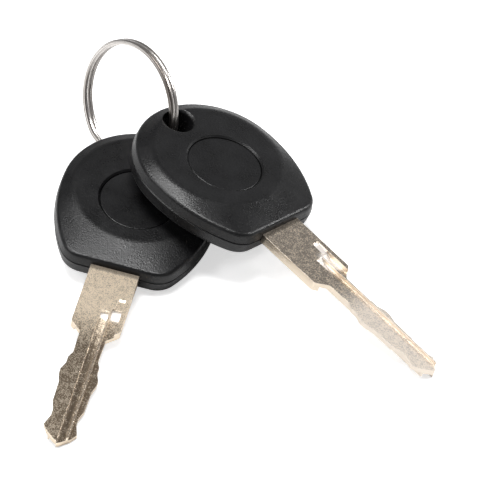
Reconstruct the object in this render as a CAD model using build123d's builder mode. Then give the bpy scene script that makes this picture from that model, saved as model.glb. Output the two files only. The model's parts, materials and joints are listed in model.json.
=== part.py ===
from build123d import *

import os
from math import cos, radians, sin, sqrt

# Two alike car keys with moulded heads, linked by a split ring, as they lie on a table.
# The lower key lies on the table, the upper key lies across its head, and the ring
# goes through the hole of each. All sizes are in millimetres.

# Head outline, seen from above. The badge centre is at x = 0 and the blade points to +X.
HEAD_REAR_RADIUS = 16.0
HEAD_REAR_X = -2.9
HEAD_FLANK_RADIUS = 30.2
HEAD_CORNER_RADIUS = 5.1
HEAD_CORNER_Y = 7.1
HEAD_FRONT_X = 17.1

# Head section. The two shells meet at z = 0, which is also the blade's middle.
HEAD_ABOVE = 3.5
HEAD_BELOW = 4.0
SKIRT_DROP = 1.3
WALL_INSET = 0.35
PLATEAU_RADIUS = 13.3
PLATEAU_X = -2.4
SHOULDER_ROUND = 0.9
PLATEAU_ROUND = 3.0
SEAM_CHAMFER = 0.2

# Hole for the ring, flared out to a wider mouth at both ends.
RING_HOLE_RADIUS = 3.05
RING_HOLE_X = -13.7
UPPER_MOUTH_RADIUS = 3.85
LOWER_MOUTH_RADIUS = 4.55

# Blank badge in its round recess.
BADGE_RECESS_RADIUS = 7.55
BADGE_RECESS_DEPTH = 0.95
BADGE_RECESS_CHAMFER = 0.35
BADGE_THICKNESS = 0.55
BADGE_GAP = 0.1
BADGE_EDGE_ROUND = 0.2

# Blade: a neck, then the narrow bitted length, both edges alike.
BLADE_THICKNESS = 2.0
NECK_WIDTH = 9.7
NECK_END_X = 31.6
BLADE_TIP_X = 60.4
TANG_START_X = 2.5
TANG_HOLES_X = (6.5, 12.5)
TANG_HOLE_RADIUS = 1.6
SLOT_SIDE_CLEARANCE = 0.1

# Distance past the neck's end and half width at each corner of the blade's edge.
BITTING = (
    (0.1, 4.7),
    (2.1, 2.6),
    (7.4, 2.5),
    (8.8, 3.1),
    (10.3, 3.1),
    (12.0, 3.75),
    (13.2, 3.7),
    (15.0, 3.2),
    (19.8, 3.1),
    (21.8, 2.5),
    (23.2, 2.5),
    (25.6, 3.25),
    (26.9, 2.4),
    (28.4, 0.7),
)
NECK_CORNER_CHAMFER = 0.3

# Lengthwise grooves on the blade, each with a curved run-out in the neck, and the
# shallow step that the cutter leaves ahead of the outer one.
INNER_GROOVE = {"from_y": 0.0, "to_y": 1.6, "depth": 0.75, "starts_x": 27.3, "full_x": 29.3}
OUTER_GROOVE = {"from_y": 1.95, "to_y": 3.9, "depth": 1.0, "starts_x": 26.3, "full_x": 28.5}
CUTTER_STEP = {"from_y": 2.4, "to_y": 3.9, "depth": 0.2, "starts_x": 23.7, "full_x": 24.5}

# Pegs that hold the tang, and the transponder capsule behind it.
PEG_RADIUS = 1.5
PEG_SOCKET_CLEARANCE = 0.1
PEG_SOCKET_COVER = 0.45
CAPSULE_RADIUS = 1.5
CAPSULE_LENGTH = 12.6
CAPSULE_X = -3.2
CAPSULE_CLEARANCE = 0.05

# Split ring: two turns of flat wire.
RING_OUTER_RADIUS = 13.5
WIRE_RADIAL = 1.1
WIRE_AXIAL = 0.7
WIRE_ROUND = 0.2
TURN_GAP = 0.04
CROSSOVER_ANGLE = 24.0
CROSSOVER_AT = 197.0
CROSSOVER_SECTIONS = 5

# How the set lies: heading of each blade, nose-down angle, and roll to its left side.
LOWER_HEADING = -103.3
LOWER_NOSE_DOWN = 4.32
LOWER_ROLL = -7.9
UPPER_HEADING = -47.3
UPPER_NOSE_DOWN = 10.34
UPPER_ROLL = -11.6
UPPER_BADGE_FROM_LOWER = (17.0, 3.77)
KEY_TO_KEY_CLEARANCE = 0.08
RING_FACES = -139.1
RING_FACES_UP = 22.6

# Where the wire crosses each ring hole, from the middle of the hole at the seam.
WIRE_IN_LOWER_HOLE = (0.03, 0.12, -0.98)
WIRE_IN_UPPER_HOLE = (-0.16, -0.16, -0.75)


def tilted(heading, nose_down, roll):
    """Rotation of a key that lies with the given heading, nose-down angle and roll."""
    return Location((0, 0, 0), (roll, nose_down, heading), Extrinsic.XYZ)


def outline_corners():
    """Tangent points of the head outline's arcs on its left side, and the flank's centre."""
    rear = Vector(HEAD_REAR_X, 0)
    corner = Vector(HEAD_FRONT_X - HEAD_CORNER_RADIUS, HEAD_CORNER_Y)
    span = corner - rear
    to_rear = HEAD_FLANK_RADIUS - HEAD_REAR_RADIUS
    to_corner = HEAD_FLANK_RADIUS - HEAD_CORNER_RADIUS
    along = (to_rear**2 - to_corner**2 + span.length**2) / (2 * span.length)
    across = sqrt(to_rear**2 - along**2)
    forward = span.normalized()
    sideways = Vector(forward.Y, -forward.X)
    flank = rear + forward * along + sideways * across
    return rear, flank, corner


def head_outline(inset):
    """Points and arcs of the head outline, drawn inwards by the inset."""
    rear, flank, corner = outline_corners()
    rear_radius = HEAD_REAR_RADIUS - inset
    corner_radius = HEAD_CORNER_RADIUS - inset
    at_rear = rear + (rear - flank).normalized() * rear_radius
    at_corner = corner + (corner - flank).normalized() * corner_radius
    at_front = corner + Vector(corner_radius, 0)
    flank_middle = ((at_rear + at_corner) * 0.5 - flank).normalized()
    on_flank = flank + flank_middle * (HEAD_FLANK_RADIUS - inset)
    corner_middle = ((at_corner + at_front) * 0.5 - corner).normalized()
    on_corner = corner + corner_middle * corner_radius
    return at_rear, on_flank, at_corner, on_corner, at_front, rear - Vector(rear_radius, 0)


def left_and_right(point):
    return Vector(point.X, -point.Y)


def outline_face(inset, height):
    """Sketch of the head outline at the given height."""
    at_rear, on_flank, at_corner, on_corner, at_front, back = head_outline(inset)
    with BuildSketch(Plane.XY.offset(height)) as face:
        with BuildLine():
            ThreePointArc(left_and_right(at_rear), back, at_rear)
            ThreePointArc(at_rear, on_flank, at_corner)
            ThreePointArc(at_corner, on_corner, at_front)
            Line(at_front, left_and_right(at_front))
            ThreePointArc(left_and_right(at_front), left_and_right(on_corner), left_and_right(at_corner))
            ThreePointArc(left_and_right(at_corner), left_and_right(on_flank), left_and_right(at_rear))
        make_face()
    return face.sketch


def plateau_face(height):
    """Sketch of the round flat of a head, cut into arcs that face those of the outline."""
    at_rear, _, at_corner, _, at_front, _ = head_outline(0)
    centre = Vector(PLATEAU_X, 0)

    def on_plateau(toward):
        return centre + (toward - centre).normalized() * PLATEAU_RADIUS

    ends = [on_plateau(point) for point in (at_rear, at_corner, at_front)]
    middles = [on_plateau((a + b) * 0.5) for a, b in zip(ends, ends[1:])]
    with BuildSketch(Plane.XY.offset(height)) as face:
        with BuildLine():
            ThreePointArc(left_and_right(ends[0]), centre - Vector(PLATEAU_RADIUS, 0), ends[0])
            ThreePointArc(ends[0], middles[0], ends[1])
            ThreePointArc(ends[1], middles[1], ends[2])
            ThreePointArc(ends[2], centre + Vector(PLATEAU_RADIUS, 0), left_and_right(ends[2]))
            ThreePointArc(left_and_right(ends[2]), left_and_right(middles[1]), left_and_right(ends[1]))
            ThreePointArc(left_and_right(ends[1]), left_and_right(middles[0]), left_and_right(ends[0]))
        make_face()
    return face.sketch


def half_head(rise):
    """One moulded half of the head, from the seam up, before its pockets are cut."""
    wall = rise - SKIRT_DROP
    with BuildPart() as half:
        loft(sections=[outline_face(0, 0), outline_face(WALL_INSET, wall)], ruled=True)
        loft(sections=[outline_face(WALL_INSET, wall), plateau_face(rise)], ruled=True)
        rims = half.edges().filter_by_position(Axis.Z, wall - 0.01, wall + 0.01)
        fillet(rims, radius=SHOULDER_ROUND)
        flat = half.faces().sort_by(Axis.Z)[-1]
        fillet(flat.edges(), radius=PLATEAU_ROUND)
        seam = half.faces().sort_by(Axis.Z)[0]
        chamfer(seam.edges(), length=SEAM_CHAMFER)
    return half.part


def ring_hole(rise, fall):
    """The hole through the head with both mouths flared, as a solid to cut away."""
    radius = RING_HOLE_RADIUS
    flare_above = UPPER_MOUTH_RADIUS - RING_HOLE_RADIUS
    flare_below = LOWER_MOUTH_RADIUS - RING_HOLE_RADIUS
    off_middle = 1 - sin(radians(45))
    with BuildPart() as hole:
        with BuildSketch(Plane.XZ.shift_origin((RING_HOLE_X, 0, 0))) as profile:
            with BuildLine():
                bottom_arc = ThreePointArc(
                    (LOWER_MOUTH_RADIUS, -fall),
                    (radius + flare_below * off_middle, -fall + flare_below * off_middle),
                    (radius, -fall + flare_below),
                )
                wall = Line(bottom_arc @ 1, (radius, rise - flare_above))
                top_arc = ThreePointArc(
                    wall @ 1,
                    (radius + flare_above * off_middle, rise - flare_above * off_middle),
                    (UPPER_MOUTH_RADIUS, rise),
                )
                Polyline(top_arc @ 1, (UPPER_MOUTH_RADIUS, rise + 1), (0, rise + 1))
                Line((0, rise + 1), (0, -fall - 1))
                Polyline((0, -fall - 1), (LOWER_MOUTH_RADIUS, -fall - 1), bottom_arc @ 0)
            make_face()
        revolve(axis=Axis((RING_HOLE_X, 0, 0), (0, 0, 1)))
    return hole.part


def peg_height():
    """Height of the pegs, which leaves the named cover between their sockets and the badge."""
    return HEAD_ABOVE - BADGE_RECESS_DEPTH - PEG_SOCKET_COVER - PEG_SOCKET_CLEARANCE


def tang_slot():
    """The room that the tang takes in both shells, open at the front."""
    length = HEAD_FRONT_X + 1 - TANG_START_X
    with BuildPart() as slot:
        with BuildSketch(Plane.XY.offset(-BLADE_THICKNESS / 2)):
            with Locations((TANG_START_X + length / 2, 0)):
                Rectangle(length + 2 * SLOT_SIDE_CLEARANCE, NECK_WIDTH + 2 * SLOT_SIDE_CLEARANCE)
        extrude(amount=BLADE_THICKNESS)
    return slot.part


def capsule_room():
    """The round channel across the head that holds the transponder capsule."""
    with BuildPart() as room:
        with BuildSketch(Plane.XZ.offset(-CAPSULE_LENGTH / 2 - CAPSULE_CLEARANCE)):
            with Locations((CAPSULE_X, 0)):
                Circle(CAPSULE_RADIUS + CAPSULE_CLEARANCE)
        extrude(amount=CAPSULE_LENGTH + 2 * CAPSULE_CLEARANCE)
    return room.part


with BuildPart() as top_shell:
    add(half_head(HEAD_ABOVE))
    add(ring_hole(HEAD_ABOVE, HEAD_BELOW), mode=Mode.SUBTRACT)
    add(tang_slot(), mode=Mode.SUBTRACT)
    add(capsule_room(), mode=Mode.SUBTRACT)
    with BuildSketch(Plane.XY.offset(HEAD_ABOVE - BADGE_RECESS_DEPTH)):
        Circle(BADGE_RECESS_RADIUS)
    extrude(amount=BADGE_RECESS_DEPTH, mode=Mode.SUBTRACT)
    recess_rim = top_shell.edges().filter_by(GeomType.CIRCLE).filter_by_position(
        Axis.Z, HEAD_ABOVE - 0.01, HEAD_ABOVE + 0.01
    )
    recess_rim = recess_rim.filter_by(lambda edge: abs(edge.radius - BADGE_RECESS_RADIUS) < 0.01)
    chamfer(recess_rim, length=BADGE_RECESS_CHAMFER)
    with BuildSketch():
        with Locations(*[(x, 0) for x in TANG_HOLES_X]):
            Circle(PEG_RADIUS + PEG_SOCKET_CLEARANCE)
    extrude(amount=peg_height() + PEG_SOCKET_CLEARANCE, mode=Mode.SUBTRACT)

with BuildPart() as bottom_shell:
    add(half_head(HEAD_BELOW), rotation=(180, 0, 0))
    add(ring_hole(HEAD_ABOVE, HEAD_BELOW), mode=Mode.SUBTRACT)
    add(tang_slot(), mode=Mode.SUBTRACT)
    add(capsule_room(), mode=Mode.SUBTRACT)
    with BuildSketch(Plane.XY.offset(-BLADE_THICKNESS / 2)):
        with Locations(*[(x, 0) for x in TANG_HOLES_X]):
            Circle(PEG_RADIUS)
    extrude(amount=BLADE_THICKNESS / 2 + peg_height())

with BuildPart() as badge:
    with BuildSketch(Plane.XY.offset(HEAD_ABOVE - BADGE_RECESS_DEPTH)):
        Circle(BADGE_RECESS_RADIUS - BADGE_GAP)
    extrude(amount=BADGE_THICKNESS)
    fillet(badge.faces().sort_by(Axis.Z)[-1].edges(), radius=BADGE_EDGE_ROUND)

with BuildPart() as capsule:
    with BuildSketch(Plane.XZ.offset(-CAPSULE_LENGTH / 2)):
        with Locations((CAPSULE_X, 0)):
            Circle(CAPSULE_RADIUS)
    extrude(amount=CAPSULE_LENGTH)
    fillet(capsule.edges().filter_by(GeomType.CIRCLE), radius=CAPSULE_RADIUS * 0.8)


def groove(room):
    """One milled groove, from its run-out in the neck to past the tip."""
    top = BLADE_THICKNESS / 2
    floor = top - room["depth"]
    beyond = BLADE_TIP_X + 1
    with BuildPart() as cut:
        with BuildSketch(Plane.XZ.offset(-room["to_y"])):
            with BuildLine():
                bed = Line((beyond, floor), (room["full_x"], floor))
                rise = TangentArc(bed @ 1, (room["starts_x"], top), tangent=bed % 1)
                Polyline(rise @ 1, (room["starts_x"], top + 1), (beyond, top + 1), bed @ 0)
            make_face()
        extrude(amount=room["to_y"] - room["from_y"])
    return cut.part


with BuildPart() as blade:
    with BuildSketch(Plane.XY.offset(-BLADE_THICKNESS / 2)):
        with BuildLine():
            half = NECK_WIDTH / 2
            corners = [(NECK_END_X + past, half_width) for past, half_width in BITTING]
            Polyline(
                (TANG_START_X, 0),
                (TANG_START_X, half),
                (NECK_END_X - NECK_CORNER_CHAMFER, half),
                *corners,
                (BLADE_TIP_X, 0),
            )
            mirror(about=Plane.XZ)
        make_face()
    extrude(amount=BLADE_THICKNESS)
    with Locations(*[(x, 0) for x in TANG_HOLES_X]):
        Hole(TANG_HOLE_RADIUS)
    for room in (INNER_GROOVE, OUTER_GROOVE, CUTTER_STEP):
        add(groove(room), mode=Mode.SUBTRACT)
        add(groove(room), rotation=(180, 0, 0), mode=Mode.SUBTRACT)


def ring_section(angle, height):
    """Section of the flat wire at an angle round the ring and a height off its plane."""
    middle = RING_OUTER_RADIUS - WIRE_RADIAL / 2
    outward = Vector(cos(radians(angle)), sin(radians(angle)), 0)
    along = Vector(-outward.Y, outward.X, 0)
    plane = Plane(origin=outward * middle + Vector(0, 0, height), x_dir=outward, z_dir=along)
    with BuildSketch(plane) as section:
        RectangleRounded(WIRE_RADIAL, WIRE_AXIAL, WIRE_ROUND)
    return section.sketch


with BuildPart() as split_ring:
    turn_height = (WIRE_AXIAL + TURN_GAP) / 2
    turn_start = CROSSOVER_AT + CROSSOVER_ANGLE / 2
    for height in (turn_height, -turn_height):
        revolve(ring_section(turn_start, height), axis=Axis.Z, revolution_arc=360 - CROSSOVER_ANGLE)
    crossing = []
    for step in range(CROSSOVER_SECTIONS):
        share = step / (CROSSOVER_SECTIONS - 1)
        ease = share * share * (3 - 2 * share)
        angle = CROSSOVER_AT - CROSSOVER_ANGLE / 2 + share * CROSSOVER_ANGLE
        crossing.append(ring_section(angle, turn_height * (1 - 2 * ease)))
    loft(sections=crossing)


def lower_key_place():
    """Place of the lower key: the rim of its underside touches the table."""
    turn = tilted(LOWER_HEADING, LOWER_NOSE_DOWN, LOWER_ROLL)
    axes = Plane(turn)
    slope = sqrt(axes.x_dir.Z**2 + axes.y_dir.Z**2)
    height = HEAD_BELOW * axes.z_dir.Z + PLATEAU_RADIUS * slope - PLATEAU_X * axes.x_dir.Z
    return Location((0, 0, height)) * turn


def upper_key_place(lower):
    """Place of the upper key: its flat underside rests on the rim of the lower head's flat."""
    turn = tilted(UPPER_HEADING, UPPER_NOSE_DOWN, UPPER_ROLL)
    up = Plane(turn).z_dir
    below = Plane(lower)
    flat_centre = below.origin + below.x_dir * PLATEAU_X + below.z_dir * HEAD_ABOVE
    leaning = sqrt(1 - up.dot(below.z_dir) ** 2)
    reach = flat_centre.dot(up) + PLATEAU_RADIUS * leaning + HEAD_BELOW + KEY_TO_KEY_CLEARANCE
    lower_badge = below.origin + below.z_dir * HEAD_ABOVE
    x = lower_badge.X + UPPER_BADGE_FROM_LOWER[0] - HEAD_ABOVE * up.X
    y = lower_badge.Y + UPPER_BADGE_FROM_LOWER[1] - HEAD_ABOVE * up.Y
    return Location((x, y, (reach - x * up.X - y * up.Y) / up.Z)) * turn


def wire_crossing(place, from_middle):
    """Point in a placed key's ring hole that the ring's wire passes through."""
    x, y, z = from_middle
    return (place * Location((RING_HOLE_X + x, y, z))).position


def ring_place(lower, upper):
    """Place of the ring: its wire goes through the hole of each key."""
    through_lower = wire_crossing(lower, WIRE_IN_LOWER_HOLE)
    through_upper = wire_crossing(upper, WIRE_IN_UPPER_HOLE)
    chord = through_upper - through_lower
    along = chord.normalized()
    level = cos(radians(RING_FACES_UP))
    facing = Vector(
        level * cos(radians(RING_FACES)), level * sin(radians(RING_FACES)), sin(radians(RING_FACES_UP))
    )
    normal = (facing - along * facing.dot(along)).normalized()
    reach = sqrt((RING_OUTER_RADIUS - WIRE_RADIAL / 2) ** 2 - (chord.length / 2) ** 2)
    centre = (through_lower + through_upper) * 0.5 + normal.cross(along) * reach
    return Location(Plane(origin=centre, x_dir=Vector(0, 0, 1).cross(normal), z_dir=normal))


lower_place = lower_key_place()
upper_place = upper_key_place(lower_place)
pieces = {"split_ring": split_ring.part.moved(ring_place(lower_place, upper_place))}
key_pieces = {
    "top_shell": top_shell.part,
    "bottom_shell": bottom_shell.part,
    "badge": badge.part,
    "transponder": capsule.part,
    "blade": blade.part,
}
for name, piece in key_pieces.items():
    pieces["lower_" + name] = piece.moved(lower_place)
    pieces["upper_" + name] = piece.moved(upper_place)

# The origin is the middle of the whole set's footprint on the table.
box = Compound(list(pieces.values())).bounding_box()
to_origin = Location((-box.center().X, -box.center().Y, -box.min.Z))

os.makedirs("parts", exist_ok=True)
for name, piece in pieces.items():
    placed = piece.moved(to_origin)
    placed.label = name
    export_step(placed, f"parts/{name}.step")
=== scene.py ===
"""Looks for a pair of car keys linked by a split ring: heads, badges, blades, ring and stage."""

import json
from math import cos, pi, radians, sin

import bmesh
import bpy
from mathutils import Matrix, Vector


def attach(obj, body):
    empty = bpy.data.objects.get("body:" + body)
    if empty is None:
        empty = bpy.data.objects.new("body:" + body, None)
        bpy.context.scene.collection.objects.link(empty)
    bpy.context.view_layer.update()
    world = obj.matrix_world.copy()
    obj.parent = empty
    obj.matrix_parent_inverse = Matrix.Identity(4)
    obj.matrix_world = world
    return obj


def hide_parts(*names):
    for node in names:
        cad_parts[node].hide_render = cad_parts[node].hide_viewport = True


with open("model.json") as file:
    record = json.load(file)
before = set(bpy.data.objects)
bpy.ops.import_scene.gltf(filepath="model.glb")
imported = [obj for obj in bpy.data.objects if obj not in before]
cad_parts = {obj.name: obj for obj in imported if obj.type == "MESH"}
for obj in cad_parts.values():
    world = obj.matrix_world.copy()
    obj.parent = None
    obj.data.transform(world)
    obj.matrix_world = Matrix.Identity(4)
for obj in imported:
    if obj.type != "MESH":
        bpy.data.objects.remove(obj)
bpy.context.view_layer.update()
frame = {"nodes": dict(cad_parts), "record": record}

bl_info = {
    "name": "Linked car keys",
    "version": (1, 0, 0),
    "blender": (4, 5, 0),
    "location": "View3D > Sidebar > Car keys",
    "description": "Finishes two car keys and their split ring, and sets the studio round them",
    "category": "Object",
}

KEYS = ("lower", "upper")
MM = 0.001
BADGE_MIDDLE = 2.825 * MM  # height of a badge's middle above its head's seam

# Worn look and painted highlights of each blade. Pairs of shares are near the head and near the
# tip:
# tarnish, softness of the flecks, roughness and polish. Pairs of places are in millimetres, from
# where
# a change starts to where it ends: "worn" along the blade from the head's look to the tip's, "ramp"
# along the blade for the end of the painted highlight on the grooves' ramps, and "ramp_height" for
# its top off the blade's middle. The window is the share of a painted highlight patch round the
# ramps.
WEAR_AND_HIGHLIGHTS = {
    "lower": {
        "tarnish": (0.25, 0.58),
        "softness": (0.34, 0.13),
        "roughness": (0.40, 0.28),
        "polish": (0.0, 0.0),
        "worn": (26.0, 38.0),
        "ramp": (28.2, 29.0),
        "ramp_height": (0.60, 0.70),
        "window": 0.0,
    },
    "upper": {
        "tarnish": (0.56, 0.38),
        "softness": (0.17, 0.22),
        "roughness": (0.37, 0.54),
        "polish": (0.16, 0.5),
        "worn": (33.0, 43.0),
        "ramp": (29.6, 31.0),
        "ramp_height": (0.85, 0.95),
        "window": 1.0,
    },
}

# Soft limits on a blade, in millimetres in its key's own axes: height of the milled grooves,
# sides of the painted highlight patch along and across the blade, and the end of the painted
# shadow at the head.
MILLED_HEIGHT = (0.7, 0.95)
WINDOW_START = (26.0, 27.2)
WINDOW_END = (30.6, 31.6)
WINDOW_INNER_SIDE = (0.4, 1.8)
WINDOW_OUTER_SIDE = (3.85, 3.95)
HEAD_LINE = (17.5, 18.2)

# Colours that the materials fix.
RUBBED_PLASTIC = (0.045, 0.045, 0.046)
# Colour of the painted shadow where the blade enters the head.
HEAD_SHADOW_COLOUR = (0.10, 0.085, 0.07)
GLASS_DEEP = (0.55, 0.66, 0.58)
GLASS_PALE = (0.75, 0.82, 0.76)

# Shares in the mixes of grain and colour.
NOISE_SHARE = 0.65
RUBBED_LEAST = 0.3
RUBBED_SHARE = 0.5
FLECK_SHARE = 0.75
# Share of white in the painted highlight on the grooves' ramps.
RAMP_HIGHLIGHT_SHARE = 0.9
# Strength of the painted shadow where the blade enters the head.
HEAD_SHADOW_SHARE = 0.7
# Share of the pale edges on a blade: partly worn plating, partly painted highlight.
EDGE_SHARE = 0.85
MOTTLE_PALER = 1.7
PAPER_PALER = 1.02

# Levels of a noise, or of a face's tilt, between which a mask goes from none to all.
SPECK_LEVELS = (0.3, 0.7)
MOTTLE_LEVELS = (0.35, 0.65)
FLECK_LEVELS = (0.30, 0.66)
CLOUD_LEVELS = (0.36, 0.66)
WIRE_LEVELS = (0.38, 0.60)
FLAT_LEVELS = (0.6, 0.8)

# Roughness, or what a mask from none to all adds to it.
SPECK_ROUGHNESS = (-0.05, 0.05)
MOTTLE_ROUGHNESS = (-0.03, 0.04)
RUBBED_ROUGHNESS = -0.12
FLECK_ROUGHNESS = (0.08, -0.02)
EDGE_ROUGHNESS = -0.1
RAMP_ROUGHNESS = 0.14
WIRE_ROUGHNESS = (0.28, 0.21)
WIRE_MOTTLE_ROUGHNESS = 0.1
GLASS_ROUGHNESS = (0.05, 0.15)

# Fine lines: how often the cutter's change per metre along, across and up a blade, how often the
# wire's change over its length and once round it, and how deep the wire's are.
CUTTER_LINES = (300.0, 6000.0, 6000.0)
WIRE_LINES_ALONG = 7.0
WIRE_LINES_ROUND = 9.0
WIRE_LINE_DEPTH = 0.006 * MM
WIRE_LINE_STRENGTH = 0.6
WIRE_GRAIN_SIZE = 0.25 * MM
WIRE_MOTTLE_SIZE = 2.5 * MM

# Limits of the mesh work: corners that count as one, faces that count as one, and edges that are
# rounded on a blade or drawn sharp on the ring.
DOUBLES_WITHIN = 0.0005 * MM
FLAT_WITHIN = radians(0.4)
ROUNDED_FROM = radians(28)
SHARP_FROM = radians(50)

# Lamps by name: place, size and the setting that holds the power. All of them aim at LAMP_AIM.
LAMP_AIM = (0.0, 0.0, 0.01)
LAMPS = {
    "Overhead lamp": ((-0.08, 0.03, 0.64), (0.20, 0.34), "overhead_power"),
    "Side lamp": ((-0.42, -0.10, 0.46), (0.20, 0.26), "side_power"),
    "Right lamp": ((0.56, 0.19, 0.37), (0.14, 0.14), "right_power"),
    "Back lamp": ((0.31, 0.56, 0.28), (0.24, 0.20), "back_power"),
}
TABLE_HALF_SIDE = 3.0
ZENITH_COLOUR = (0.62, 0.62, 0.64)
ZENITH_HEIGHT = 0.75
WHITE = (1.0, 1.0, 1.0)


# Places of the pieces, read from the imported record


def mount(name):
    """Place and direction of one of the record's mounts."""
    found = next(m for m in frame["record"]["mounts"] if m["name"] == name)
    return Vector(found["pos_m"]), Vector(found["axis"]).normalized()


def key_axes(key):
    """A key's own axes: origin at the seam under the badge, X to the blade's tip, Z up."""
    disc = frame["nodes"][f"{key}_badge"]
    up = max(disc.data.polygons, key=lambda face: face.area).normal.copy()
    if up.z < 0:
        up.negate()
    along = mount(f"{key}_blade_end")[1]
    along = (along - up * along.dot(up)).normalized()
    turn = Matrix((along, up.cross(along), up)).transposed()
    corners = [turn.transposed() @ (disc.matrix_world @ v.co) for v in disc.data.vertices]
    spans = [[corner[i] for corner in corners] for i in range(3)]
    middle = Vector([(min(span) + max(span)) / 2 for span in spans])
    return turn @ (middle - Vector((0, 0, BADGE_MIDDLE))), turn


def ring_axes():
    """The ring's centre and its own axes, Z through the loop and X level."""
    centre, through = mount("ring_loop")
    level = Vector((0, 0, 1)).cross(through).normalized()
    return centre, Matrix((level, through.cross(level), through)).transposed()


# Node helpers


def link(tree, value, socket):
    """Joins an output to a socket, or writes a plain value into the socket."""
    if isinstance(value, bpy.types.NodeSocket):
        tree.links.new(value, socket)
    else:
        socket.default_value = value


def add_node(tree, kind, settings=None, **inputs):
    """A node with its settings and the inputs that are given by name."""
    node = tree.nodes.new(kind)
    for name, value in (settings or {}).items():
        setattr(node, name, value)
    for name, value in inputs.items():
        link(tree, value, node.inputs[name.replace("_", " ")])
    return node


def maths(tree, operation, *values, clamp=False):
    """Result of one sum on numbers or outputs."""
    node = add_node(tree, "ShaderNodeMath", {"operation": operation, "use_clamp": clamp})
    for value, socket in zip(values, node.inputs):
        link(tree, value, socket)
    return node.outputs[0]


def blend_colour(tree, share, first, second):
    """Colour between two others, by a share from 0 to 1."""
    node = add_node(tree, "ShaderNodeMix", {"data_type": "RGBA"})
    sockets = {s.identifier: s for s in node.inputs}
    link(tree, share, sockets["Factor_Float"])
    link(tree, first, sockets["A_Color"])
    link(tree, second, sockets["B_Color"])
    return next(s for s in node.outputs if s.identifier == "Result_Color")


def dot_product(tree, first, second):
    """How far two directions agree, 1 where they are the same."""
    node = add_node(tree, "ShaderNodeVectorMath", {"operation": "DOT_PRODUCT"})
    link(tree, first, node.inputs[0])
    link(tree, second, node.inputs[1])
    return node.outputs["Value"]


def opaque(colour):
    """A colour with its alpha, as colour sockets take it."""
    return (*colour, 1.0)


def spread(tree, value, from_low, from_high, to_low, to_high, smooth=False):
    """Maps a value from one range to another, and holds it at the ends."""
    kind = "SMOOTHSTEP" if smooth else "LINEAR"
    node = add_node(tree, "ShaderNodeMapRange", {"interpolation_type": kind}, Value=value)
    limits = (from_low, from_high, to_low, to_high)
    for name, limit in zip(("From Min", "From Max", "To Min", "To Max"), limits):
        link(tree, limit, node.inputs[name])
    return node.outputs["Result"]


def fade(tree, value, limits, low, high, smooth=False):
    """As spread, between two limits that are given in millimetres."""
    return spread(tree, value, limits[0] * MM, limits[1] * MM, low, high, smooth=smooth)


def noise(tree, place, scale, detail, **rest):
    """Level of a noise, from 0 to 1."""
    node = add_node(
        tree, "ShaderNodeTexNoise", Vector=place, Scale=scale, Detail=detail, **rest
    )
    return node.outputs[0]


def face_normal(tree):
    return tree.nodes.new("ShaderNodeNewGeometry").outputs["Normal"]


def new_group(name, inputs, outputs):
    """An empty shader node group with named float or vector sockets."""
    tree = bpy.data.node_groups.new(name, "ShaderNodeTree")
    for label, kind, value in inputs:
        socket = tree.interface.new_socket(label, in_out="INPUT", socket_type=kind)
        if value is not None:
            socket.default_value = value
    for label, kind in outputs:
        tree.interface.new_socket(label, in_out="OUTPUT", socket_type=kind)
    return tree, tree.nodes.new("NodeGroupInput"), tree.nodes.new("NodeGroupOutput")


def place_group(tree, group, **inputs):
    return add_node(tree, "ShaderNodeGroup", {"node_tree": group}, **inputs)


FLOAT = "NodeSocketFloat"
VECTOR = "NodeSocketVector"


def grain_group():
    """Fine grain of a moulded or tumbled surface, with a slow mottle over it."""
    if "Fine grain" in bpy.data.node_groups:
        return bpy.data.node_groups["Fine grain"]
    tree, given, result = new_group(
        "Fine grain",
        [("Vector", VECTOR, None), ("Grain size", FLOAT, 0.0003), ("Mottle size", FLOAT, 0.004)],
        [("Height", FLOAT), ("Mottle", FLOAT)],
    )
    fine = maths(tree, "DIVIDE", 1.0, given.outputs["Grain size"])
    slow = maths(tree, "DIVIDE", 1.0, given.outputs["Mottle size"])
    place = given.outputs["Vector"]
    pits = add_node(
        tree, "ShaderNodeTexVoronoi", {"feature": "SMOOTH_F1"}, Vector=place, Scale=fine
    )
    grain = maths(tree, "MULTIPLY", noise(tree, place, fine, 3.0, Roughness=0.62), NOISE_SHARE)
    pitted = maths(tree, "MULTIPLY", pits.outputs[0], 1.0 - NOISE_SHARE)
    link(tree, maths(tree, "ADD", grain, pitted), result.inputs["Height"])
    link(tree, noise(tree, place, slow, 4.0, Roughness=0.55), result.inputs["Mottle"])
    return tree


def edge_mask_group():
    """Mask of a piece's edges: worn on the heads; worn and painted highlight on the blades."""
    if "Worn edge" in bpy.data.node_groups:
        return bpy.data.node_groups["Worn edge"]
    tree, given, result = new_group(
        "Worn edge", [("Width", FLOAT, 0.0001), ("Gain", FLOAT, 4.0)], [("Mask", FLOAT)]
    )
    rounded = add_node(tree, "ShaderNodeBevel", {"samples": 8}, Radius=given.outputs["Width"])
    alike = dot_product(tree, rounded.outputs[0], face_normal(tree))
    turned = maths(tree, "SUBTRACT", 1.0, alike)
    mask = maths(tree, "MULTIPLY", turned, given.outputs["Gain"], clamp=True)
    link(tree, mask, result.inputs["Mask"])
    return tree


def place_grain(tree, place, grain_size, mottle_size):
    """Height and mottle of the fine grain at a place."""
    node = place_group(
        tree, grain_group(), Vector=place, Grain_size=grain_size, Mottle_size=mottle_size
    )
    return node.outputs["Height"], node.outputs["Mottle"]


def edge_mask(tree, width, gain):
    return place_group(tree, edge_mask_group(), Width=width, Gain=gain).outputs["Mask"]


def new_material(name):
    """A material with an empty tree, its shader and its output."""
    material = bpy.data.materials.new(name)
    material.use_nodes = True
    tree = material.node_tree
    tree.nodes.clear()
    shader = tree.nodes.new("ShaderNodeBsdfPrincipled")
    output = tree.nodes.new("ShaderNodeOutputMaterial")
    tree.links.new(shader.outputs[0], output.inputs["Surface"])
    return material, tree, shader


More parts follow.
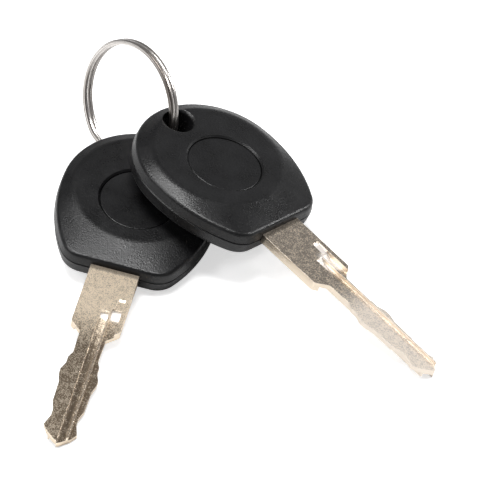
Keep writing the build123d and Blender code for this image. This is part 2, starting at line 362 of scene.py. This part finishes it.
def surface(tree, shader, base, rough, height, strength, distance):
    """Joins a material's colour, roughness and relief to its shader."""
    bump = add_node(
        tree, "ShaderNodeBump", Height=height, Strength=strength, Distance=distance
    )
    link(tree, base, shader.inputs["Base Color"])
    link(tree, rough, shader.inputs["Roughness"])
    link(tree, bump.outputs[0], shader.inputs["Normal"])


def object_place(tree):
    return tree.nodes.new("ShaderNodeTexCoord").outputs["Object"]


def key_place(tree, key):
    """Object coordinates turned into a key's own axes."""
    origin, turn = key_axes(key)
    back = turn.transposed()
    node = add_node(
        tree,
        "ShaderNodeMapping",
        {"vector_type": "POINT"},
        Vector=object_place(tree),
        Rotation=back.to_euler("XYZ"),
        Location=back @ -origin,
    )
    return node.outputs[0]


# Materials


def moulded_plastic(name, look, colour, grain_share):
    """Black moulded plastic with a fine spark-eroded grain and softly worn edges."""
    material, tree, shader = new_material(name)
    place = object_place(tree)
    grain, mottle = place_grain(tree, place, look.grain_size, look.mottle_size)
    mottle = spread(tree, mottle, *MOTTLE_LEVELS, 0.0, 1.0)
    pale = [min(1.0, c * MOTTLE_PALER) for c in colour]
    base = blend_colour(tree, mottle, opaque(colour), opaque(pale))
    rubbed = maths(tree, "ADD", mottle, RUBBED_LEAST)
    worn = edge_mask(tree, look.wear_width, 1.6)
    rubbed = maths(tree, "MULTIPLY", worn, rubbed, clamp=True)
    rubbed = maths(tree, "MULTIPLY", rubbed, RUBBED_SHARE)
    base = blend_colour(tree, rubbed, base, opaque(RUBBED_PLASTIC))

    low, high = (look.roughness + change for change in MOTTLE_ROUGHNESS)
    rough = maths(
        tree,
        "ADD",
        spread(tree, grain, *SPECK_LEVELS, *SPECK_ROUGHNESS),
        spread(tree, mottle, 0.0, 1.0, low, high),
    )
    rough = maths(tree, "ADD", rough, maths(tree, "MULTIPLY", rubbed, RUBBED_ROUGHNESS))
    surface(tree, shader, base, rough, grain, 1.0, look.grain_height * grain_share)
    shader.inputs["Specular IOR Level"].default_value = 0.4
    return material


def window_mask(tree, key, along, across):
    """Mask of the painted highlight patch round the ramps, where a blade has one."""
    sides = (
        fade(tree, along, WINDOW_END, 1.0, 0.0),
        fade(tree, across, WINDOW_INNER_SIDE, 0.0, 1.0, smooth=True),
        fade(tree, across, WINDOW_OUTER_SIDE, 1.0, 0.0),
    )
    mask = fade(tree, along, WINDOW_START, 0.0, WEAR_AND_HIGHLIGHTS[key]["window"])
    for side in sides:
        mask = maths(tree, "MULTIPLY", mask, side)
    return mask


def blade_nickel(name, key, look):
    """Nickel plating: mottled, darker in the grooves, pale on edges that are partly worn and partly
    painted highlight, with a painted highlight on the ramps and a painted shadow at the head.
    """
    material, tree, shader = new_material(name)
    wear = WEAR_AND_HIGHLIGHTS[key]
    place = key_place(tree, key)
    along, across, off_middle = add_node(tree, "ShaderNodeSeparateXYZ", Vector=place).outputs
    height = maths(tree, "ABSOLUTE", off_middle)
    grain, mottle = place_grain(tree, place, look.grain_size, look.mottle_size)
    facing = dot_product(tree, face_normal(tree), key_axes(key)[1].col[2])
    flat = spread(tree, maths(tree, "ABSOLUTE", facing), *FLAT_LEVELS, 0.0, 1.0)
    milled = maths(tree, "MULTIPLY", flat, fade(tree, height, MILLED_HEIGHT, 1.0, 0.0))
    worn_share = fade(tree, along, wear["worn"], 0.0, 1.0, smooth=True)
    tarnish, soft, rough, polish = (
        spread(tree, worn_share, 0.0, 1.0, *wear[kind])
        for kind in ("tarnish", "softness", "roughness", "polish")
    )

    flecks = spread(tree, grain, *FLECK_LEVELS, 0.0, 1.0)
    cloud = spread(tree, mottle, *CLOUD_LEVELS, 0.0, 1.0)
    cloud = maths(tree, "MULTIPLY", cloud, 1.0 - FLECK_SHARE)
    tone = maths(tree, "ADD", maths(tree, "MULTIPLY", flecks, FLECK_SHARE), cloud)
    tarnish = spread(tree, flat, 0.0, 1.0, look.edge_tarnish, tarnish)
    # Darker in the milled grooves.
    tarnish = maths(tree, "ADD", tarnish, maths(tree, "MULTIPLY", milled, look.groove_darkening))
    darkest = maths(tree, "SUBTRACT", tarnish, soft)
    tone = spread(tree, tone, darkest, maths(tree, "ADD", tarnish, soft), 0.0, 1.0)
    base = blend_colour(tree, tone, opaque(look.dark_fleck), opaque(look.plating))
    base = blend_colour(tree, polish, base, opaque(look.rubbed_and_highlight))

    # Painted highlight on the grooves' ramps and, where a blade has one, on the patch round them.
    ramp = fade(tree, height, wear["ramp_height"], 1.0, 0.0)
    ramp = maths(tree, "MULTIPLY", ramp, fade(tree, along, wear["ramp"], 1.0, 0.0))
    ramp = maths(tree, "MAXIMUM", ramp, window_mask(tree, key, along, across))
    ramp = maths(tree, "MULTIPLY", ramp, flat)
    painted_highlight = maths(tree, "MULTIPLY", ramp, RAMP_HIGHLIGHT_SHARE)
    base = blend_colour(tree, painted_highlight, base, opaque(look.rubbed_and_highlight))
    # Painted shadow on the blade where it enters the head.
    head_shadow = fade(tree, along, HEAD_LINE, HEAD_SHADOW_SHARE, 0.0, smooth=True)
    base = blend_colour(tree, head_shadow, base, opaque(HEAD_SHADOW_COLOUR))
    # Pale edges: partly worn plating, partly painted highlight.
    bright = maths(tree, "MULTIPLY", edge_mask(tree, look.edge_width, 5.0), EDGE_SHARE)
    base = blend_colour(tree, bright, base, opaque(look.rubbed_and_highlight))

    rough = maths(tree, "ADD", rough, spread(tree, tone, 0.0, 1.0, *FLECK_ROUGHNESS))
    rough = maths(tree, "ADD", rough, maths(tree, "MULTIPLY", bright, EDGE_ROUGHNESS))
    rough = maths(tree, "ADD", rough, maths(tree, "MULTIPLY", ramp, RAMP_ROUGHNESS))
    stretched = add_node(tree, "ShaderNodeVectorMath", {"operation": "MULTIPLY"})
    link(tree, place, stretched.inputs[0])
    link(tree, CUTTER_LINES, stretched.inputs[1])
    cut = maths(tree, "MULTIPLY", noise(tree, stretched.outputs[0], 1.0, 2.0), milled)
    surface(tree, shader, base, rough, maths(tree, "ADD", grain, cut), 1.0, look.grain_height)
    shader.inputs["Metallic"].default_value = 1.0
    return material


def drawn_wire(name, look):
    """Bright drawn spring wire, with fine dark lines along its length: drawing lines, also
    painted shade at the wire's edges and between the two turns.
    """
    material, tree, shader = new_material(name)
    along, side = (
        add_node(tree, "ShaderNodeAttribute", {"attribute_name": attribute}).outputs["Fac"]
        for attribute in ("wire_along", "wire_side")
    )
    place = add_node(
        tree,
        "ShaderNodeCombineXYZ",
        X=maths(tree, "MULTIPLY", along, WIRE_LINES_ALONG),
        Y=maths(tree, "MULTIPLY", side, WIRE_LINES_ROUND),
    )
    lines = noise(tree, place.outputs[0], 1.0, 1.5)
    mottle = place_grain(tree, object_place(tree), WIRE_GRAIN_SIZE, WIRE_MOTTLE_SIZE)[1]
    # The dark lines are drawing lines and also painted shade at the wire's edges and between the
    # turns.
    tone = spread(tree, lines, *WIRE_LEVELS, 0.0, 1.0)
    base = blend_colour(tree, tone, opaque(look.wire_lines_and_shade), opaque(look.wire_bright))
    rough = spread(tree, tone, 0.0, 1.0, *WIRE_ROUGHNESS)
    rough = maths(tree, "ADD", rough, maths(tree, "MULTIPLY", mottle, WIRE_MOTTLE_ROUGHNESS))
    surface(tree, shader, base, rough, lines, WIRE_LINE_STRENGTH, WIRE_LINE_DEPTH)
    shader.inputs["Metallic"].default_value = 1.0
    return material


def capsule_glass(name):
    """Clear greenish glass of the transponder capsule, slightly clouded."""
    material, tree, shader = new_material(name)
    cloud = noise(tree, object_place(tree), 900.0, 2.0)
    base = blend_colour(tree, cloud, opaque(GLASS_DEEP), opaque(GLASS_PALE))
    rough = spread(tree, cloud, *SPECK_LEVELS, *GLASS_ROUGHNESS)
    link(tree, base, shader.inputs["Base Color"])
    link(tree, rough, shader.inputs["Roughness"])
    shader.inputs["Transmission Weight"].default_value = 0.6
    return material


# Meshes


def show_material(node, material):
    """Puts a material on a carried-over CAD node."""
    mesh = frame["nodes"][node].data
    mesh.materials.clear()
    mesh.materials.append(material)


def merged_copy(node, name):
    """A closed copy of a CAD node, its flat faces whole and its doubles merged."""
    mesh = frame["nodes"][node].data.copy()
    mesh.name = name
    shape = bmesh.new()
    shape.from_mesh(mesh)
    bmesh.ops.remove_doubles(shape, verts=shape.verts, dist=DOUBLES_WITHIN)
    bmesh.ops.dissolve_limit(
        shape,
        angle_limit=FLAT_WITHIN,
        verts=shape.verts,
        edges=shape.edges,
        use_dissolve_boundaries=False,
    )
    shape.to_mesh(mesh)
    shape.free()
    mesh.materials.clear()
    piece = bpy.data.objects.new(name, mesh)
    bpy.context.scene.collection.objects.link(piece)
    return piece


def plain_mesh(piece, name):
    """Turns a piece with modifiers into the plain mesh that they give."""
    bpy.context.view_layer.update()
    graph = bpy.context.evaluated_depsgraph_get()
    mesh = bpy.data.meshes.new_from_object(piece.evaluated_get(graph), depsgraph=graph)
    mesh.name = name
    piece.modifiers.clear()
    piece.data = mesh
    return mesh


def wire_tree(material):
    """Geometry nodes of a split ring: two turns of flat wire that change places over an arc."""
    tree = bpy.data.node_groups.new("Split ring wire", "GeometryNodeTree")
    sockets = tree.interface
    sockets.new_socket("Geometry", in_out="OUTPUT", socket_type="NodeSocketGeometry")
    for name, kind in (
        ("Outer radius", FLOAT),
        ("Wire width", FLOAT),
        ("Wire thickness", FLOAT),
        ("Wire rounding", FLOAT),
        ("Turn gap", FLOAT),
        ("Crossover angle", FLOAT),
        ("Crossover place", FLOAT),
        ("Steps", "NodeSocketInt"),
        ("Centre", VECTOR),
        ("Tilt", "NodeSocketRotation"),
    ):
        sockets.new_socket(name, in_out="INPUT", socket_type=kind)
    given = tree.nodes.new("NodeGroupInput").outputs
    full = 2 * pi

    index = tree.nodes.new("GeometryNodeInputIndex").outputs[0]
    share = maths(tree, "DIVIDE", index, maths(tree, "SUBTRACT", given["Steps"], 1.0))
    whole = maths(tree, "SUBTRACT", 2 * full, given["Crossover angle"])
    travelled = maths(tree, "MULTIPLY", share, whole)
    half_cross = maths(tree, "MULTIPLY", given["Crossover angle"], 0.5)
    angle = maths(tree, "ADD", travelled, maths(tree, "ADD", given["Crossover place"], half_cross))
    pitch = maths(tree, "ADD", given["Wire thickness"], given["Turn gap"])
    lift = maths(tree, "MULTIPLY", pitch, 0.5)
    crossing = maths(tree, "SUBTRACT", full, given["Crossover angle"])
    lowered = maths(tree, "MULTIPLY", lift, -1.0)
    height = spread(tree, travelled, crossing, full, lift, lowered, smooth=True)
    half_width = maths(tree, "MULTIPLY", given["Wire width"], 0.5)
    middle = maths(tree, "SUBTRACT", given["Outer radius"], half_width)
    point = add_node(
        tree,
        "ShaderNodeCombineXYZ",
        X=maths(tree, "MULTIPLY", middle, maths(tree, "COSINE", angle)),
        Y=maths(tree, "MULTIPLY", middle, maths(tree, "SINE", angle)),
        Z=height,
    )

    line = add_node(tree, "GeometryNodeMeshLine", Count=given["Steps"])
    moved = add_node(
        tree,
        "GeometryNodeSetPosition",
        Geometry=line.outputs[0],
        Position=point.outputs[0],
    )
    curve = add_node(tree, "GeometryNodeMeshToCurve", Mesh=moved.outputs[0])
    normal = add_node(tree, "GeometryNodeSetCurveNormal", {"mode": "Z_UP"}, Curve=curve.outputs[0])
    on_points = {"data_type": "FLOAT", "domain": "POINT"}
    marked = add_node(
        tree,
        "GeometryNodeStoreNamedAttribute",
        on_points,
        Geometry=normal.outputs[0],
        Name="wire_along",
        Value=share,
    )
    section = add_node(
        tree,
        "GeometryNodeCurvePrimitiveQuadrilateral",
        Width=given["Wire width"],
        Height=given["Wire thickness"],
    )
    rounded = add_node(
        tree,
        "GeometryNodeFilletCurve",
        {"mode": "POLY"},
        Curve=section.outputs[0],
        Radius=given["Wire rounding"],
        Count=4,
    )
    sided = add_node(
        tree,
        "GeometryNodeStoreNamedAttribute",
        on_points,
        Geometry=rounded.outputs[0],
        Name="wire_side",
        Value=tree.nodes.new("GeometryNodeSplineParameter").outputs["Factor"],
    )
    wire = add_node(
        tree,
        "GeometryNodeCurveToMesh",
        Curve=marked.outputs[0],
        Profile_Curve=sided.outputs[0],
        Fill_Caps=True,
    )
    placed = add_node(
        tree,
        "GeometryNodeTransform",
        Geometry=wire.outputs[0],
        Translation=given["Centre"],
        Rotation=given["Tilt"],
    )
    real = add_node(tree, "GeometryNodeRealizeInstances", Geometry=placed.outputs[0])
    painted = add_node(
        tree, "GeometryNodeSetMaterial", Geometry=real.outputs[0], Material=material
    )
    tree.links.new(painted.outputs[0], tree.nodes.new("NodeGroupOutput").inputs[0])
    return tree


# Settings


class HeadLook(bpy.types.PropertyGroup):
    plastic: bpy.props.FloatVectorProperty(
        name="Head plastic", description="Colour of the moulded heads", subtype="COLOR", size=3,
        min=0.0, max=1.0, default=(0.0045, 0.0045, 0.0048),
    )
    badge: bpy.props.FloatVectorProperty(
        name="Badge plastic", description="Colour of the blank badges", subtype="COLOR", size=3,
        min=0.0, max=1.0, default=(0.0038, 0.0038, 0.0041),
    )
    roughness: bpy.props.FloatProperty(
        name="Roughness", description="How matt the plastic is", default=0.325, min=0.05, max=1.0
    )
    grain_size: bpy.props.FloatProperty(
        name="Grain size", description="Width of one grain of the moulded surface",
        default=0.28 * MM, precision=5, subtype="DISTANCE", unit="LENGTH",
    )
    grain_height: bpy.props.FloatProperty(
        name="Grain height", description="Depth of the grain", default=0.065 * MM,
        precision=6, subtype="DISTANCE", unit="LENGTH",
    )
    mottle_size: bpy.props.FloatProperty(
        name="Mottle size", description="Width of the slow change in tone", default=5.0 * MM,
        precision=4, subtype="DISTANCE", unit="LENGTH",
    )
    wear_width: bpy.props.FloatProperty(
        name="Wear width", description="Width of the rubbed edges", default=0.35 * MM,
        precision=5, subtype="DISTANCE", unit="LENGTH",
    )


class BladeLook(bpy.types.PropertyGroup):
    plating: bpy.props.FloatVectorProperty(
        name="Plating", description="Bright colour of the nickel plating", subtype="COLOR", size=3,
        min=0.0, max=1.0, default=(0.84, 0.715, 0.555),
    )
    dark_fleck: bpy.props.FloatVectorProperty(
        name="Dark flecks", description="Colour of the flecks between", subtype="COLOR", size=3,
        min=0.0, max=1.0, default=(0.16, 0.125, 0.09),
    )
    # Colour of worn plating, and of the painted highlights on the blade's edges and ramps.
    rubbed_and_highlight: bpy.props.FloatVectorProperty(
        name="Bright edge", description="Colour of the rubbed edges", subtype="COLOR", size=3,
        min=0.0, max=1.0, default=(0.93, 0.88, 0.835),
    )
    edge_tarnish: bpy.props.FloatProperty(
        name="Edge tarnish", description="Share of tarnished plating on the blade's sides",
        default=0.02, min=0.0, max=1.0,
    )
    # How much darker the milled grooves are.
    groove_darkening: bpy.props.FloatProperty(
        name="Groove darkening", description="How much more tarnish the milled grooves have",
        default=0.14, min=0.0, max=1.0,
    )
    grain_size: bpy.props.FloatProperty(
        name="Grain size", description="Width of one fleck", default=0.24 * MM,
        precision=5, subtype="DISTANCE", unit="LENGTH",
    )
    grain_height: bpy.props.FloatProperty(
        name="Grain height", description="Depth of the plating's grain", default=0.03 * MM,
        precision=6, subtype="DISTANCE", unit="LENGTH",
    )
    mottle_size: bpy.props.FloatProperty(
        name="Mottle size", description="Width of the cloudy patches", default=1.2 * MM,
        precision=4, subtype="DISTANCE", unit="LENGTH",
    )
    edge_width: bpy.props.FloatProperty(
        name="Edge width", description="Width of the bright edges", default=0.15 * MM,
        precision=5, subtype="DISTANCE", unit="LENGTH",
    )
    edge_round: bpy.props.FloatProperty(
        name="Edge rounding", description="How far the blade's edges are rounded",
        default=0.07 * MM, precision=5, subtype="DISTANCE", unit="LENGTH",
    )


class RingLook(bpy.types.PropertyGroup):
    outer_radius: bpy.props.FloatProperty(
        name="Outer radius", description="Radius over the wire", default=13.33 * MM,
        precision=4, subtype="DISTANCE", unit="LENGTH",
    )
    wire_width: bpy.props.FloatProperty(
        name="Wire width", description="Wire size across the ring", default=1.15 * MM,
        precision=4, subtype="DISTANCE", unit="LENGTH",
    )
    wire_thickness: bpy.props.FloatProperty(
        name="Wire thickness", description="Wire size along the ring's axis", default=0.95 * MM,
        precision=5, subtype="DISTANCE", unit="LENGTH",
    )
    wire_rounding: bpy.props.FloatProperty(
        name="Wire rounding", description="Radius of the wire's edges", default=0.31 * MM,
        precision=5, subtype="DISTANCE", unit="LENGTH",
    )
    turn_gap: bpy.props.FloatProperty(
        name="Turn gap", description="Gap between the two turns", default=0.04 * MM,
        precision=5, subtype="DISTANCE", unit="LENGTH",
    )
    crossover_angle: bpy.props.FloatProperty(
        name="Crossover angle", description="Arc over which the turns change places",
        default=radians(24.0), subtype="ANGLE", unit="ROTATION",
    )
    crossover_place: bpy.props.FloatProperty(
        name="Crossover place",
        description="Where the turns change places, from the ring's level axis",
        default=radians(245.0), subtype="ANGLE", unit="ROTATION",
    )
    steps: bpy.props.IntProperty(
        name="Steps", description="Points along the wire", default=500, min=60, max=2000
    )
    wire_bright: bpy.props.FloatVectorProperty(
        name="Wire", description="Colour of the wire", subtype="COLOR", size=3, min=0.0, max=1.0,
        default=(0.80, 0.765, 0.73),
    )
    # Colour of the drawing lines, which also paint the shade at the wire's edges and between the
    # turns.
    wire_lines_and_shade: bpy.props.FloatVectorProperty(
        name="Wire lines", description="Colour of the drawing lines", subtype="COLOR", size=3,
        min=0.0, max=1.0, default=(0.16, 0.14, 0.125),
    )


class StageLook(bpy.types.PropertyGroup):
    camera_rise: bpy.props.FloatProperty(
        name="Camera rise", description="How far the camera looks down", default=radians(43.349),
        subtype="ANGLE", unit="ROTATION",
    )
    camera_distance: bpy.props.FloatProperty(
        name="Camera distance", description="From the camera to the middle of the picture",
        default=0.7231, precision=4, subtype="DISTANCE", unit="LENGTH",
    )
    camera_aim: bpy.props.FloatVectorProperty(
        name="Camera aim", description="Point in the middle of the picture", size=3,
        default=(-0.0003, 0.01125, -0.00114), precision=5, subtype="XYZ", unit="LENGTH",
    )
    camera_lens: bpy.props.FloatProperty(
        name="Lens", description="Focal length in millimetres", default=275.43, min=20.0
    )
    floor_colour: bpy.props.FloatVectorProperty(
        name="Floor", description="Colour of the table", subtype="COLOR", size=3, min=0.0, max=1.0,
        default=(0.86, 0.86, 0.86),
    )
    floor_lift: bpy.props.FloatProperty(
        name="Floor lift", description="White that the floor adds for the camera",
        default=0.60, min=0.0,
    )
    overhead_power: bpy.props.FloatProperty(
        name="Overhead lamp", description="Power of the large soft lamp",
        default=3.7, min=0.0, unit="POWER",
    )
    side_power: bpy.props.FloatProperty(
        name="Side lamp", description="Power of the soft lamp at the left",
        default=1.1, min=0.0, unit="POWER",
    )
    right_power: bpy.props.FloatProperty(
        name="Right lamp", description="Power of the small soft lamp at the right",
        default=1.8, min=0.0, unit="POWER",
    )
    back_power: bpy.props.FloatProperty(
        name="Back lamp", description="Power of the soft lamp behind",
        default=0.08, min=0.0, unit="POWER",
    )
    world_level: bpy.props.FloatProperty(
        name="Room level", description="Brightness of the room", default=0.29, min=0.0
    )


# Operators


class KEYS_OT_make_heads(bpy.types.Operator):
    """Gives both heads and their blank badges their moulded plastic"""

    bl_idname = "keys.make_heads"
    bl_label = "Make heads and badges"

    def execute(self, context):
        look = context.scene.head_look
        head = moulded_plastic("Head plastic", look, tuple(look.plastic), 1.0)
        badge = moulded_plastic("Badge plastic", look, tuple(look.badge), 0.7)
        for key in KEYS:
            for part in ("top_shell", "bottom_shell"):
                show_material(f"{key}_{part}", head)
            show_material(f"{key}_badge", badge)
        return {"FINISHED"}


class KEYS_OT_make_blades(bpy.types.Operator):
    """Makes both blades with rounded edges and nickel plating"""

    bl_idname = "keys.make_blades"
    bl_label = "Make blades"

    def execute(self, context):
        look = context.scene.blade_look
        for key in KEYS:
            piece = merged_copy(f"{key}_blade", f"{key}_plated_blade")
            bevel = piece.modifiers.new("Rounded edges", "BEVEL")
            bevel.width = look.edge_round
            bevel.segments = 2
            bevel.limit_method = "ANGLE"
            bevel.angle_limit = ROUNDED_FROM
            bevel.harden_normals = True
            mesh = plain_mesh(piece, f"{key}_plated_blade")
            mesh.materials.append(blade_nickel(f"Blade nickel {key}", key, look))
            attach(piece, f"{key}_key")
            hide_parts(f"{key}_blade")
        return {"FINISHED"}


class KEYS_OT_make_capsules(bpy.types.Operator):
    """Gives the transponder capsules inside the heads their glass"""

    bl_idname = "keys.make_capsules"
    bl_label = "Make capsules"

    def execute(self, context):
        glass = capsule_glass("Capsule glass")
        for key in KEYS:
            show_material(f"{key}_transponder", glass)
        return {"FINISHED"}


class KEYS_OT_make_ring(bpy.types.Operator):
    """Winds the split ring from two turns of flat wire"""

    bl_idname = "keys.make_ring"
    bl_label = "Make split ring"

    def execute(self, context):
        look = context.scene.ring_look
        centre, turn = ring_axes()
        sizes = {
            "Outer radius": look.outer_radius,
            "Wire width": look.wire_width,
            "Wire thickness": look.wire_thickness,
            "Wire rounding": look.wire_rounding,
            "Turn gap": look.turn_gap,
            "Crossover angle": look.crossover_angle,
            "Crossover place": look.crossover_place,
            "Steps": look.steps,
            "Centre": tuple(centre),
            "Tilt": tuple(turn.to_euler("XYZ")),
        }
        piece = bpy.data.objects.new("split_ring_wire", bpy.data.meshes.new("split_ring_wire"))
        context.scene.collection.objects.link(piece)
        wound = piece.modifiers.new("Wound wire", "NODES")
        wound.node_group = wire_tree(drawn_wire("Ring wire", look))
        for item in wound.node_group.interface.items_tree:
            if item.in_out == "INPUT":
                wound[item.identifier] = sizes[item.name]
        mesh = plain_mesh(piece, "split_ring_wire")
        if not mesh.polygons:
            raise RuntimeError("the split ring came out empty")
        mesh.shade_smooth()
        mesh.set_sharp_from_angle(angle=SHARP_FROM)
        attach(piece, "ring")
        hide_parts("split_ring")
        return {"FINISHED"}


def area_lamp(name, place, size, power):
    """A soft rectangular lamp that aims at the middle of the set."""
    lamp = bpy.data.lights.new(name, "AREA")
    lamp.shape = "RECTANGLE"
    lamp.size, lamp.size_y = size
    lamp.energy = power
    holder = bpy.data.objects.new(name, lamp)
    holder.location = place
    holder.rotation_mode = "QUATERNION"
    holder.rotation_quaternion = (Vector(LAMP_AIM) - Vector(place)).to_track_quat("-Z", "Y")
    bpy.context.scene.collection.objects.link(holder)


def floor_material(look):
    """Pale table that stays white for the camera and keeps the soft shadows."""
    material, tree, shader = new_material("Pale table")
    rays = tree.nodes.new("ShaderNodeLightPath").outputs
    seen = maths(tree, "MAXIMUM", rays["Is Camera Ray"], rays["Is Transmission Ray"])
    glow = maths(tree, "MULTIPLY", seen, look.floor_lift)
    paper = noise(tree, object_place(tree), 40.0, 3.0)
    pale = [min(1.0, c * PAPER_PALER) for c in look.floor_colour]
    base = blend_colour(tree, paper, opaque(look.floor_colour), opaque(pale))
    link(tree, base, shader.inputs["Base Color"])
    shader.inputs["Roughness"].default_value = 0.9
    shader.inputs["Specular IOR Level"].default_value = 0.1
    shader.inputs["Emission Color"].default_value = opaque(WHITE)
    link(tree, glow, shader.inputs["Emission Strength"])
    return material


class KEYS_OT_set_stage(bpy.types.Operator):
    """Sets the table, the soft lamps, the room and the camera"""

    bl_idname = "keys.set_stage"
    bl_label = "Set stage"

    def execute(self, context):
        look = context.scene.stage_look
        scene = context.scene
        scene.view_settings.view_transform = "Standard"

        table = bpy.data.meshes.new("table")
        side = TABLE_HALF_SIDE
        corners = [(-side, -side, 0), (side, -side, 0), (side, side, 0), (-side, side, 0)]
        table.from_pydata(corners, [], [(0, 1, 2, 3)])
        table.materials.append(floor_material(look))
        floor = bpy.data.objects.new("table", table)
        scene.collection.objects.link(floor)

        for name, (place, size, power) in LAMPS.items():
            area_lamp(name, place, size, getattr(look, power))

        room = bpy.data.worlds.new("Room")
        room.use_nodes = True
        tree = room.node_tree
        tree.nodes.clear()
        direction = tree.nodes.new("ShaderNodeTexCoord").outputs["Generated"]
        height = add_node(tree, "ShaderNodeSeparateXYZ", Vector=direction).outputs[2]
        rise = spread(tree, height, 0.0, ZENITH_HEIGHT, 0.0, 1.0, smooth=True)
        colour = blend_colour(tree, rise, opaque(WHITE), opaque(ZENITH_COLOUR))
        sky = add_node(tree, "ShaderNodeBackground", Color=colour, Strength=look.world_level)
        tree.links.new(sky.outputs[0], tree.nodes.new("ShaderNodeOutputWorld").inputs[0])
        scene.world = room

        lens = bpy.data.cameras.new("Camera")
        lens.lens = look.camera_lens
        lens.sensor_width = 36.0
        lens.clip_start, lens.clip_end = 0.05, 20.0
        camera = bpy.data.objects.new("Camera", lens)
        rise_angle = look.camera_rise
        back = Vector((0, -cos(rise_angle), sin(rise_angle)))
        camera.location = Vector(look.camera_aim) + back * look.camera_distance
        camera.rotation_euler = (pi / 2 - rise_angle, 0.0, 0.0)
        scene.collection.objects.link(camera)
        scene.camera = camera
        return {"FINISHED"}


class KEYS_PT_panel(bpy.types.Panel):
    """Lists the settings and the steps of the key pair"""

    bl_idname = "KEYS_PT_panel"
    bl_label = "Car keys"
    bl_space_type = "VIEW_3D"
    bl_region_type = "UI"
    bl_category = "Car keys"

    def draw(self, context):
        scene = context.scene
        for look, operators in PANEL_ROWS:
            box = self.layout.box()
            settings = getattr(scene, look)
            for name in settings.__annotations__:
                box.prop(settings, name)
            for operator in operators:
                box.operator(operator.bl_idname)


LOOKS = {
    "head_look": HeadLook,
    "blade_look": BladeLook,
    "ring_look": RingLook,
    "stage_look": StageLook,
}
OPERATORS = (
    KEYS_OT_make_heads,
    KEYS_OT_make_blades,
    KEYS_OT_make_capsules,
    KEYS_OT_make_ring,
    KEYS_OT_set_stage,
)
PANEL_ROWS = (
    ("head_look", (KEYS_OT_make_heads, KEYS_OT_make_capsules)),
    ("blade_look", (KEYS_OT_make_blades,)),
    ("ring_look", (KEYS_OT_make_ring,)),
    ("stage_look", (KEYS_OT_set_stage,)),
)


def register():
    for look in LOOKS.values():
        bpy.utils.register_class(look)
    for name, look in LOOKS.items():
        setattr(bpy.types.Scene, name, bpy.props.PointerProperty(type=look))
    for made in (*OPERATORS, KEYS_PT_panel):
        bpy.utils.register_class(made)


def unregister():
    for made in reversed((*OPERATORS, KEYS_PT_panel)):
        bpy.utils.unregister_class(made)
    for name in LOOKS:
        delattr(bpy.types.Scene, name)
    for look in reversed(tuple(LOOKS.values())):
        bpy.utils.unregister_class(look)


def main():
    register()
    bpy.ops.keys.make_heads()
    bpy.ops.keys.make_blades()
    bpy.ops.keys.make_capsules()
    bpy.ops.keys.make_ring()
    bpy.ops.keys.set_stage()
    bpy.context.view_layer.update()


if __name__ == "__main__":
    main()
